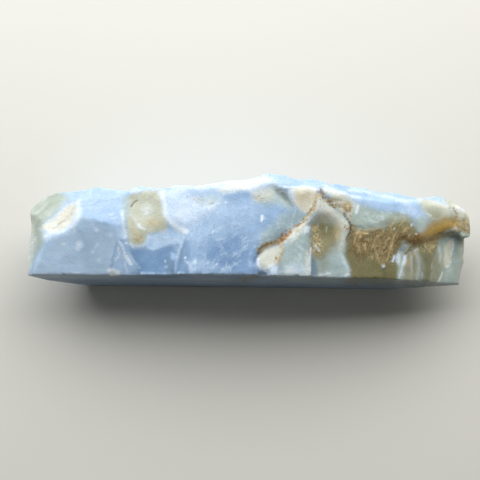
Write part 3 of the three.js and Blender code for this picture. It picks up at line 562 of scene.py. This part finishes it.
# Each pigment: name, its marks, darker and lighter tone in sRGB, how much fine grain unsettles its edge,
# how crumbly its tone is and the roughness of the surface there
PIGMENTS = [
    ("deep_blue", DEEP_BLUE, (108, 144, 182), (136, 168, 204), 0.3, 0, 0.35),
    ("frost", FROST, (168, 196, 228), (202, 225, 245), 0.3, 0, 0.5),
    ("slate", SLATE, (174, 200, 224), (194, 218, 238), 0.1, 0, 0.28),
    ("lavender", LAVENDER, (164, 196, 230), (192, 220, 246), 0.3, 0, 0.45),
    ("green", GREEN, (152, 172, 166), (192, 206, 198), 0.3, 0, 0.35),
    ("sage", SAGE, (176, 182, 160), (212, 216, 202), 0.4, 0.2, 0.4),
    ("cream", CREAM, (208, 205, 184), (236, 237, 229), 0.4, 0.2, 0.5),
    ("dark_blue_and_shade", DARK_BLUE_AND_SHADE, (104, 132, 160), (128, 154, 180), 0.3, 0, 0.35),
    ("olive", OLIVE, (112, 108, 74), (142, 138, 100), 0.4, 0.2, 0.38),
    ("tan", TAN, (154, 130, 82), (214, 198, 154), 1.2, 0.9, 0.5),
    ("brown", BROWN, (98, 76, 42), (142, 118, 74), 1, 0.7, 0.5),
    ("amber", AMBER, (186, 146, 50), (212, 178, 90), 0.3, 0.2, 0.3),
    ("rust", RUST, (110, 74, 38), (186, 142, 90), 0.9, 1, 0.65),
    ("milk_and_painted_light", MILK_AND_PAINTED_LIGHT, (204, 226, 250), (246, 251, 252), 0.3, 0, 0.4),
    ("sand", SAND, (186, 162, 112), (228, 212, 168), 0.5, 0.4, 0.5),
    ("ink", INK, (46, 38, 28), (84, 70, 50), 0.3, 0, 0.6),
]
BODY_TONES = ((136, 168, 202), (168, 196, 224))
# Sawn faces: a darker grey than the body, partly their dusty saw-cut tone and partly painted shade
SAWN_DUST_AND_SHADE_TONES = ((106, 121, 136), (130, 143, 155))
BODY_ROUGHNESS = 0.4
SAWN_ROUGHNESS = 0.5
SAWN_DUST_AND_SHADE_SHARE = 0.55  # share of the sawn tone there
# Painted shade in the gaps between the fibres of the brown break and painted glints on their crests
FIBRE_GAP_SHADE = (84, 66, 36)  # between the fibres of the brown break
FIBRE_CREST_GLINT = (214, 196, 150)  # on the fibres
PALE_STREAK = (228, 240, 248)
# Painted shade in the hollows between the fine streaks
STREAK_HOLLOW_SHADE = (70, 96, 124)
OPAL_IOR = 1.45
GLOW_SHARE = 0.65
GLOW_DEPTH = 0.9 * MM  # how far light spreads below the surface
GLOW_SPREAD = (1, 0.8, 0.65)  # red, green and blue shares of that
BUMP_DEPTH = 0.08 * MM

# Fine streaks: outline, edge, direction in degrees, width and length in mm, and how strong they show
STREAKS = [
    ([(26, 0.5), (27, 7), (32, 9), (34.5, 6), (33.5, 0)], 1.2, 40, 0.36, 1, 0.6),
    ([(23, 0), (23.5, 12), (27, 12), (27, 0)], 1.2, 70, 0.34, 0.6, 0.35),
    ([(24.3, 0), (24.5, 2.3), (28, 2.2), (30, 0)], 0.6, 60, 0.4, 0.7, 0.9),
    ([(8, 8.5), (8, 11), (14, 11.5), (13.8, 7)], 0.5, 22, 0.38, 2.6, 0.5),
    ([(-1, 0), (-1, 12), (6, 13), (6, 10.5), (1.5, 5)], 0.6, 42, 0.5, 4, 0.6),
    ([(2, 6), (7.5, 11), (7.5, 7), (4, 5.6)], 0.3, 42, 0.34, 1.8, 0.6),
    ([(54.6, -1), (55, 4), (61.5, 5.4), (61.3, -1)], 0.5, 88, 0.6, 4.5, 0.45),
    ([(37.5, 4), (41, 6.5), (41.3, 1), (38, 0)], 0.6, 135, 0.4, 1.6, 0.5),
    ([(48, 12), (56, 12), (56, 9), (50, 9)], 0.8, 20, 0.3, 0.5, 0.7),
    ([(34, 4), (34, 8), (38, 9), (37, 5)], 0.8, 10, 0.4, 1.6, 0.5),
    ([(49, 9.6), (53, 9.4), (52.6, 7.6), (49, 7.4)], 0.4, 20, 0.36, 0.6, 0.8),
]
# Cracks that run on down the sides: u at the top, lean, and the span of v in which they show
VEINS = [(33.8, -0.3, -1, 2.5), (47.3, 0.22, -1, 2.5), (43.2, 0.35, 11.5, 16), (21, -0.25, 12.5, 16)]
# Where the solid's flat cuts meet too sharply for the stone
SOFT_BREAKS = [
    [(12.2, 0.4), (13, 13.4), (21.6, 13.4), (22.2, 7.6), (24, 7.2), (23.4, 0.4)],
    [(1.4, 6.4), (3.4, 9.6), (6.4, 12.2), (8.6, 11.4), (8.2, 8.8), (6.4, 5.8), (2.6, 5)],
    [(33.6, 2.8), (33.8, 4.4), (36.6, 6), (39.6, 8.4), (41.6, 11.6), (43.2, 12.2), (42.8, 9.6),
     (40.4, 6.8), (37.6, 4.2), (35.2, 3.2)],
    [(41, 10.4), (43.6, 11.4), (46.4, 10.4), (46.6, 2.6), (42.2, 2), (41, 3.4)],
    [(35.4, 13.8), (40.4, 13.6), (40.6, 9.6), (38.6, 7.4), (37.8, 7.6), (38.2, 11)],
    [(53.4, 0.4), (53.6, 5), (55.6, 6), (57, 5.2), (56.2, 0.4)],
    [(56.6, 5.6), (58.6, 7.4), (61.4, 8.2), (62.8, 8), (62.4, 6.4), (59.6, 5.2), (57.4, 4.8)],
    [(33.4, 1.6), (34.6, 1.5), (35.8, 0.7), (35.6, -0.4), (33.4, -0.4)],
]
BREAK_FAN = (50.6, 15)  # the fibres left of the middle of the brown break run away from here
BREAK_SLANT = 62  # direction of the fibres right of it, degrees
BREAK_STEEP = 96  # direction of the finest fibres left of it, degrees
SAW_CENTRE = (20, -85)  # of the saw's arcs, mm


def wobbled(places, below):
    """u and v of each place, moved a little so that outlines wander, and more so deep in the stone"""
    moved = []
    for axis in (0, 1):
        shift = 0.2 * wander(places, 2.4, 301 + 40 * axis) + 0.1 * wander(places, 0.8, 302 + 40 * axis)
        shift += 0.22 * np.minimum(below, 12) * wander(places, 5.5, 303 + 40 * axis)
        moved.append(places[:, axis] + shift)
    return moved


def marked(marks, u, v, below):
    """The strongest of the marks at each place, from 0 to 1"""
    strength = np.zeros(len(u))
    for closed, points, half_width, edge, deep, most in marks:
        inside = inside_by(points, u, v) if closed else half_width - from_line(points, u, v)
        soft = edge + 0.12 * below
        fade = 1 - ramp(below, deep * 0.5, deep * 1.3)
        strength = np.maximum(strength, most * fade * ramp(inside, -soft, soft))
    return strength


def below_top(places):
    """How far each place lies under the broken top, in mm"""
    cells = np.floor(places[:, :2] / TOP_CELL).astype(int) + 2
    top = np.zeros(cells.max(axis=0) + 3)
    np.maximum.at(top, (cells[:, 0], cells[:, 1]), places[:, 2])
    return np.clip(top[cells[:, 0], cells[:, 1]] - places[:, 2] - 0.5, 0, None)


def streak_field(places, u, v, below):
    """Fine streaks of the broken faces, from -1, painted shade in the hollows between them, to 1 pale"""
    total = np.zeros(len(places))
    for number, (outline, edge, angle, width, length, strength) in enumerate(STREAKS):
        crest = ridges(drawn_out(places, angle, width, length), 1, 400 + 10 * number)
        shown = strength * ramp(inside_by(outline, u, v), -edge, edge) * (1 - ramp(below, 2, 6))
        shown *= ramp(wander(places, 0.8, 405 + 10 * number), -0.5, 0.4)
        total += shown * (ramp(crest, 0.7, 0.97) - 0.8 * (1 - ramp(crest, 0.2, 0.55)))
    return np.clip(total, -1, 1)


def raised(fields, name, values):
    fields[name] = np.maximum(fields[name], values)


def add_clouds(fields, places, below):
    """Paler and deeper bands that run on through the back and the ends"""
    band = rough(places * (0.45, 1, 1), 4.5, 3, 601)
    shown = 0.6 * ramp(below, 1.5, 5)
    raised(fields, "frost", shown * ramp(band, 0.1, 0.7))
    raised(fields, "deep_blue", shown * ramp(-band, 0.1, 0.7))


def add_veins(fields, places, below):
    """Runs the cracks of the top on down the sawn face and the back as thin stained planes"""
    for number, (top_u, slant, v_from, v_to) in enumerate(VEINS):
        middle = top_u + slant * below + 0.7 * wander(places, 3.5, 501 + number)
        gap = np.abs(places[:, 0] - middle)
        within = ramp(places[:, 1], v_from - 0.4, v_from) * (1 - ramp(places[:, 1], v_to, v_to + 0.4))
        shown = within * ramp(below, 0.2, 1.2) * (1 - ramp(below, 6, 11))
        raised(fields, "brown", 0.8 * shown * (1 - ramp(gap, 0.05, 0.3)))
        raised(fields, "tan", 0.5 * shown * (1 - ramp(gap, 0.1, 0.9)))
        raised(fields, "olive", 0.5 * shown * (1 - ramp(gap, 0.2, 2.6)))


def break_side(places):
    """0 left and 1 right of the middle of the brown break"""
    return ramp(places[:, 0], 50.6, 52.2)


def fibre_field(places):
    """Fibres of the brown break, from 0 in the gaps between them to 1 on their crests"""
    left = ridges(fanned(places, *BREAK_FAN, 0.36, 1), 1, 41)
    right = ridges(drawn_out(places, BREAK_SLANT, 0.34, 0.8), 1, 45)
    side = break_side(places)
    return left * (1 - side) + right * side


# The stone's mesh


def stone_mesh():
    """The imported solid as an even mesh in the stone's own millimetres"""
    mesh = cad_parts["blue_opal"].data.copy()
    mesh.transform(Matrix.Scale(1 / MM, 4))
    mesh.transform(Matrix.Translation((U_MIDDLE, V_MIDDLE, 0)))
    piece = placed("opal_stone", mesh)
    remesh = piece.modifiers.new("even", "REMESH")
    remesh.mode = "VOXEL"
    remesh.voxel_size = MESH_SIZE
    evaluated = piece.evaluated_get(bpy.context.evaluated_depsgraph_get())
    even = bpy.data.meshes.new_from_object(evaluated)
    even.name = "opal_stone"
    piece.modifiers.clear()
    piece.data = even
    return piece


def read_vectors(collection, name):
    flat = np.empty(3 * len(collection))
    collection.foreach_get(name, flat)
    return flat.reshape(-1, 3)


def smoothed(mesh, places, weight, rounds):
    """The places drawn towards the middle of their neighbours"""
    edges = np.empty(2 * len(mesh.edges), dtype=np.int64)
    mesh.edges.foreach_get("vertices", edges)
    near, far = edges.reshape(-1, 2).T
    count = np.bincount(edges, minlength=len(places))
    for _round in range(rounds):
        for axis in range(3):
            column = places[:, axis]
            total = np.bincount(near, column[far], len(places))
            total += np.bincount(far, column[near], len(places))
            places[:, axis] = column + weight * (total / count - column)
    return places


def saw_marks(places):
    """Depth of the arcs that the saw left in the flat faces, in mm"""
    u, v, z = places.T
    reach = np.hypot(u - SAW_CENTRE[0], v + z - SAW_CENTRE[1])
    arcs = np.stack([reach, u / 30, np.zeros(len(places))], axis=1)
    return 0.02 + 0.02 * rough(arcs, 0.9, 2, 81)


def relief(places, fields):
    """How far each place stands out from the smoothed solid, in mm"""
    scoop = grains(places, 4.4, 71)
    steep = 1 - ramp(fields["up"], 0.35, 0.75)
    height = (0.15 + 0.85 * steep) * (0.05 * np.minimum(scoop, 3.2) ** 2 + 0.01 * np.sin(9 * scoop) - 0.22)
    height += 0.08 * rough(places, 5, 2, 11) + 0.03 * rough(places, 1.6, 2, 21)
    height += 0.016 * rough(places, 0.5, 2, 31) * (0.5 + fields["frost"] + fields["cream"])
    fibrous = np.clip(fields["brown"] + 0.8 * fields["tan"] + 0.25 * fields["olive"], 0, 1)
    height += 0.09 * (fields["fibre"] - 0.6) * fibrous
    height += 0.05 * fields["streak"] * (1 - fibrous)
    gap = grains(places, 0.55, 51)
    height += 0.4 * (0.25 - gap) * np.maximum(fields["rust"], 0.3 * fields["tan"])
    height -= 0.07 * fields["ink"]
    height += 0.03 * fields["milk_and_painted_light"] + 0.03 * fields["sand"]
    return height * fields["broken"] - saw_marks(places) * fields["sawn"]


def softened(mesh, places, broken):
    """Rounds the edges of the breaks a little, and much more where the photo shows no step"""
    places = smoothed(mesh, places, 0.5 * broken, 5)
    gentle = np.zeros(len(places))
    for outline in SOFT_BREAKS:
        gentle = np.maximum(gentle, ramp(inside_by(outline, *places[:, :2].T), -0.4, 0.4))
    return smoothed(mesh, places, 0.5 * broken * gentle * (normals_of(mesh)[:, 2] > 0), 70)


def normals_of(mesh):
    return read_vectors(mesh.vertex_normals, "vector")


def add_values(mesh, fields):
    for name, values in fields.items():
        layer = mesh.attributes.new(name, "FLOAT", "POINT")
        layer.data.foreach_set("value", values.astype(np.float32))


def finish_stone(piece):
    mesh = piece.data
    places = read_vectors(mesh.vertices, "co")
    normals = normals_of(mesh)
    sawn = (normals[:, 1] < -0.9) * (1 - ramp(places[:, 1], 0.1, 0.3))
    base = (normals[:, 2] < -0.9) * (1 - ramp(places[:, 2], 0.1, 0.3))
    broken = np.clip(1 - sawn - base, 0, 1)
    places = softened(mesh, places, broken)
    mesh.vertices.foreach_set("co", places.ravel())
    mesh.update()
    normals = normals_of(mesh)
    below = below_top(places)
    u, v = wobbled(places, below)
    fields = {name: marked(marks, u, v, below) for name, marks, *_rest in PIGMENTS}
    fields["sawn"] = sawn + base
    fields["up"] = normals[:, 2]
    fields["broken"] = broken
    fields["streak"] = streak_field(places, u, v, below)
    add_clouds(fields, places, below)
    add_veins(fields, places, below)
    fields["fibre"] = fibre_field(places)
    fields["side"] = break_side(places)
    places += normals * relief(places, fields)[:, None]
    places = np.clip(places, BOX_LOW, BOX_HIGH)
    mesh.vertices.foreach_set("co", places.ravel())
    add_values(mesh, fields)
    mesh.transform(Matrix.Translation((-U_MIDDLE, -V_MIDDLE, 0)))
    mesh.transform(Matrix.Scale(MM, 4))
    mesh.polygons.foreach_set("use_smooth", np.ones(len(mesh.polygons), dtype=bool))
    mesh.update()


# Material


def linear(tone):
    """An sRGB tone of three numbers up to 255 as the renderer's linear colour"""
    parts = [c / 255 for c in tone]
    return [p / 12.92 if p <= 0.04045 else ((p + 0.055) / 1.055) ** 2.4 for p in parts] + [1]


class Nodes:
    """Short names for adding and joining shader nodes"""

    def __init__(self, material):
        material.use_nodes = True
        self.tree = material.node_tree
        self.tree.nodes.clear()

    def add(self, kind, **values):
        node = self.tree.nodes.new(kind)
        for name, value in values.items():
            setattr(node, name, value)
        return node

    def join(self, source, target):
        self.tree.links.new(source, target)

    def feed(self, target, value):
        if isinstance(value, bpy.types.NodeSocket):
            self.join(value, target)
        else:
            target.default_value = value

    def fill(self, node, values):
        for name, value in values.items():
            self.feed(node.inputs[name], value)

    def surface(self, shader):
        self.join(shader.outputs[0], self.add("ShaderNodeOutputMaterial").inputs["Surface"])

    def place(self):
        return self.add("ShaderNodeTexCoord").outputs["Object"]

    def math(self, operation, *inputs, clamp=False):
        node = self.add("ShaderNodeMath", operation=operation, use_clamp=clamp)
        for socket, value in zip(node.inputs, inputs):
            self.feed(socket, value)
        return node.outputs[0]

    def field(self, name):
        return self.add("ShaderNodeAttribute", attribute_name=name).outputs["Fac"]

    def around_zero(self, place, scale, detail):
        node = self.add("ShaderNodeTexNoise")
        self.fill(node, {"Vector": place, "Scale": scale, "Detail": detail})
        return self.math("SUBTRACT", node.outputs["Fac"], 0.5)

    def noise(self, size, detail=2):
        """Noise around 0, mostly from -0.3 to 0.3, with features of that size in mm"""
        return self.around_zero(self.place(), 1 / (size * MM), detail)

    def drawn_noise(self, angle, width, length):
        """Noise around 0 whose features are drawn out along one direction of the plan, sizes in mm"""
        turned = self.add("ShaderNodeMapping", vector_type="TEXTURE")
        size = (length * MM, width * MM, length * MM)
        self.fill(turned, {"Vector": self.place(), "Rotation": (0, 0, np.radians(angle)), "Scale": size})
        return self.around_zero(turned.outputs[0], 1, 3)

    def crumbs(self, size):
        """A random number from 0 to 1 for each crumb of about that size in mm"""
        node = self.add("ShaderNodeTexVoronoi")
        self.fill(node, {"Vector": self.place(), "Scale": 1 / (size * MM)})
        parts = self.add("ShaderNodeSeparateColor")
        self.join(node.outputs["Color"], parts.inputs[0])
        return parts.outputs[0]

    def mix(self, factor, first, second, kind="RGBA"):
        node = self.add("ShaderNodeMix", data_type=kind)
        sockets = {"RGBA": (6, 7, 2), "FLOAT": (2, 3, 0)}[kind]
        self.feed(node.inputs[0], factor)
        self.feed(node.inputs[sockets[0]], first)
        self.feed(node.inputs[sockets[1]], second)
        return node.outputs[sockets[2]]


def pigment_amount(n, name, unsettled, grain):
    """How much of a pigment shows: its field, with its half-strong parts broken up by grain"""
    field = n.field(name)
    between = n.math("MULTIPLY", n.math("MULTIPLY", field, n.math("SUBTRACT", 1, field)), 6 * unsettled)
    return n.math("MULTIPLY_ADD", between, grain, field, clamp=True)


def stone_colour(n):
    """Colour and roughness of the stone, one pigment laid over the other"""
    broad = n.noise(4.5)
    cloud = n.noise(1.3)
    grain = n.math("ADD", n.noise(0.32), n.math("MULTIPLY", n.noise(0.14), 0.7))
    soft = n.math("MULTIPLY_ADD", broad, 1.1, 0.5)
    soft = n.math("MULTIPLY_ADD", cloud, 0.8, soft, clamp=True)
    soft = n.math("MULTIPLY_ADD", grain, 0.7, soft, clamp=True)
    colour = n.mix(soft, linear(BODY_TONES[0]), linear(BODY_TONES[1]))
    roughness = BODY_ROUGHNESS
    crumb = n.math("MULTIPLY_ADD", grain, 0.5, n.crumbs(0.28), clamp=True)
    around = n.math("SUBTRACT", n.crumbs(0.22), 0.5)
    for name, _marks, dark, light, unsettled, crumbly, gloss in PIGMENTS:
        amount = pigment_amount(n, name, unsettled, n.mix(crumbly, grain, around, "FLOAT"))
        tone = n.mix(crumbly, soft, crumb, "FLOAT")
        colour = n.mix(amount, colour, n.mix(tone, linear(dark), linear(light)))
        roughness = n.mix(amount, roughness, gloss, "FLOAT")
    # Darker grey over the sawn faces and base, partly dusty saw-cut tone and partly painted shade
    sawn_dust_and_shade = n.mix(soft, *map(linear, SAWN_DUST_AND_SHADE_TONES))
    colour = n.mix(n.field("sawn"), colour, n.mix(SAWN_DUST_AND_SHADE_SHARE, colour, sawn_dust_and_shade))
    return colour, n.mix(n.field("sawn"), roughness, SAWN_ROUGHNESS, "FLOAT")


def break_fibres(n):
    """Fine fibres of the brown break, around 0, steep left of its middle and slanted right of it"""
    left = n.drawn_noise(BREAK_STEEP, 0.28, 1.4)
    right = n.drawn_noise(BREAK_SLANT, 0.28, 1.3)
    return n.mix(n.field("side"), left, right, "FLOAT")


def fibrous_colour(n, colour):
    """Painted shade in the gaps and painted glints on the crests of the brown break's fibres, and the fine
    streaks of the blue faces with painted shade between them
    """
    brown = n.math("ADD", n.field("brown"), n.math("MULTIPLY", n.field("tan"), 0.6), clamp=True)
    fine = n.math("MULTIPLY", break_fibres(n), 1.6)
    fibre = n.math("ADD", fine, n.math("MULTIPLY_ADD", n.field("fibre"), 0.45, 0.32))
    # gap is painted shade and crest a painted glint, following the fibres' relief
    gap = n.math("MULTIPLY", n.math("MULTIPLY_ADD", fibre, -2.6, 1.5, clamp=True), brown)
    crest = n.math("MULTIPLY", n.math("MULTIPLY_ADD", fibre, 3.4, -2.5, clamp=True), brown)
    colour = n.mix(n.math("MULTIPLY", gap, 0.6), colour, linear(FIBRE_GAP_SHADE))
    colour = n.mix(n.math("MULTIPLY", crest, 0.42), colour, linear(FIBRE_CREST_GLINT))
    streak = n.field("streak")
    pale = n.math("MULTIPLY", streak, 0.6, clamp=True)
    # Painted shade in the hollows between the streaks
    dark = n.math("MULTIPLY", streak, -0.25, clamp=True)
    colour = n.mix(pale, colour, linear(PALE_STREAK))
    return n.mix(dark, colour, linear(STREAK_HOLLOW_SHADE))


def opal_material():
    material = bpy.data.materials.new("opal")
    n = Nodes(material)
    colour, roughness = stone_colour(n)
    fibres = n.math("MULTIPLY", break_fibres(n), n.math("MULTIPLY", n.field("brown"), 1.8))
    height = n.math("ADD", n.noise(0.2, 3), fibres)
    bump = n.add("ShaderNodeBump")
    n.fill(bump, {"Distance": BUMP_DEPTH, "Strength": 0.6, "Height": height})
    shader = n.add("ShaderNodeBsdfPrincipled")
    n.fill(shader, {"Base Color": fibrous_colour(n, colour), "Roughness": roughness, "IOR": OPAL_IOR})
    n.fill(shader, {"Subsurface Weight": GLOW_SHARE, "Subsurface Scale": GLOW_DEPTH})
    n.fill(shader, {"Subsurface Radius": GLOW_SPREAD, "Normal": bump.outputs[0]})
    n.surface(shader)
    return material


def make_stone():
    piece = stone_mesh()
    finish_stone(piece)
    piece.data.materials.clear()
    piece.data.materials.append(opal_material())
    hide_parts("blue_opal")
    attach(piece, "root")


# Surroundings: a plain pale floor, a broad soft window light from behind and above, and the camera,
# in metres and degrees, with the lens in mm

FLOOR_TONE = (216, 215, 208)
FLOOR_HALF = 1.5
LIGHT_AIM = Vector((0, 0, 0.006))
WINDOW_SIZE = (0.45, 0.17)
WINDOW_AZIMUTH = 186
WINDOW_ELEVATION = 50
WINDOW_DISTANCE = 0.18
WINDOW_POWER = 0.82
ROOM_COLOUR = (1, 0.98, 0.94, 1)
ROOM_STRENGTH = 0.12
CAMERA_TARGET = Vector((31.3 - U_MIDDLE, 5.55 - V_MIDDLE, 12)) * MM
CAMERA_AZIMUTH = 0.72
CAMERA_ELEVATION = 81
CAMERA_DISTANCE = 0.2
CAMERA_LENS = 102


def make_floor():
    mesh = bpy.data.meshes.new("floor")
    corners = [(x * FLOOR_HALF, y * FLOOR_HALF, 0) for x, y in ((-1, -1), (1, -1), (1, 1), (-1, 1))]
    mesh.from_pydata(corners, [], [(0, 1, 2, 3)])
    material = bpy.data.materials.new("floor")
    n = Nodes(material)
    shader = n.add("ShaderNodeBsdfPrincipled")
    n.fill(shader, {"Base Color": linear(FLOOR_TONE), "Roughness": 0.9})
    n.surface(shader)
    mesh.materials.append(material)
    placed("floor", mesh)


def direction(azimuth, elevation):
    """Unit vector towards a viewer at that azimuth and elevation, in degrees"""
    a, e = np.radians(azimuth), np.radians(elevation)
    return Vector((np.sin(a) * np.cos(e), -np.cos(a) * np.cos(e), np.sin(e)))


def window_light():
    data = bpy.data.lights.new("window", "AREA")
    data.shape = "RECTANGLE"
    data.size, data.size_y = WINDOW_SIZE
    data.energy = WINDOW_POWER
    lamp = placed("window", data)
    towards = direction(WINDOW_AZIMUTH, WINDOW_ELEVATION)
    lamp.location = LIGHT_AIM + towards * WINDOW_DISTANCE
    lamp.rotation_euler = towards.to_track_quat("Z", "Y").to_euler()


def room_light():
    world = bpy.data.worlds.new("studio")
    world.use_nodes = True
    background = world.node_tree.nodes["Background"]
    background.inputs["Color"].default_value = ROOM_COLOUR
    background.inputs["Strength"].default_value = ROOM_STRENGTH
    bpy.context.scene.world = world


def make_camera():
    data = bpy.data.cameras.new("camera")
    data.sensor_width = 36
    data.lens = CAMERA_LENS
    data.clip_start = 0.01
    camera = placed("camera", data)
    back = direction(CAMERA_AZIMUTH, CAMERA_ELEVATION)
    camera.location = CAMERA_TARGET + back * CAMERA_DISTANCE
    camera.rotation_euler = back.to_track_quat("Z", "Y").to_euler()
    bpy.context.scene.camera = camera


make_camera()
window_light()
room_light()
make_floor()
make_stone()
bpy.context.scene.view_settings.view_transform = "Standard"
